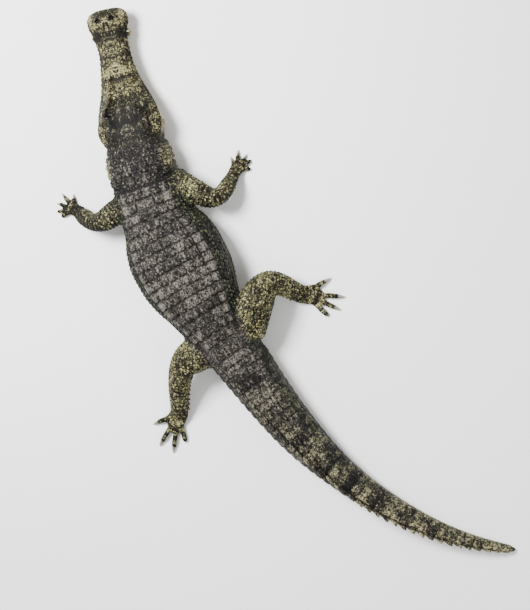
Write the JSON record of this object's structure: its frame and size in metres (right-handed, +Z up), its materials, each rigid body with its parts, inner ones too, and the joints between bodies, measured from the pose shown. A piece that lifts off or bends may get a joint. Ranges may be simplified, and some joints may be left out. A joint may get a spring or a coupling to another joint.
{
  "type": "saltwater crocodile",
  "caption": "Life-size adult saltwater crocodile, resting on its belly with splayed legs and its tail swept round to one side.",
  "frame": {"origin": "on the floor, under the middle of the animal's box", "axes": "+Z up; the snout points towards +Y and a little to -X; the tail sweeps round towards +X"},
  "size_m": [2.8969, 3.2781, 0.367],
  "materials": {
    "back_hide": "matte scaly hide, dark olive grey",
    "limb_hide": "matte scaly hide, mottled yellow olive",
    "jaw_hide": "matte hide, pale cream and yellow",
    "eye": "wet gloss",
    "claw": "satin horn"
  },
  "bodies": {
    "root": {"eye_left": "eye", "eye_right": "eye", "front_left_claw_1": "claw", "front_left_claw_2": "claw", "front_left_claw_3": "claw", "front_left_foot": "limb_hide", "front_left_forearm": "limb_hide", "front_left_upper_arm": "limb_hide", "front_right_claw_1": "claw", "front_right_claw_2": "claw", "front_right_claw_3": "claw", "front_right_foot": "limb_hide", "front_right_forearm": "limb_hide", "front_right_upper_arm": "limb_hide", "hind_left_claw_1": "claw", "hind_left_claw_2": "claw", "hind_left_claw_3": "claw", "hind_left_foot": "limb_hide", "hind_left_shank": "limb_hide", "hind_left_thigh": "limb_hide", "hind_right_claw_1": "claw", "hind_right_claw_2": "claw", "hind_right_claw_3": "claw", "hind_right_foot": "limb_hide", "hind_right_shank": "limb_hide", "hind_right_thigh": "limb_hide", "lower_jaw": "jaw_hide", "neck": "back_hide", "tail_base": "back_hide", "tail_middle": "back_hide", "tail_tip": "back_hide", "trunk": "back_hide", "upper_head": "limb_hide"}
  },
  "joints": []
}
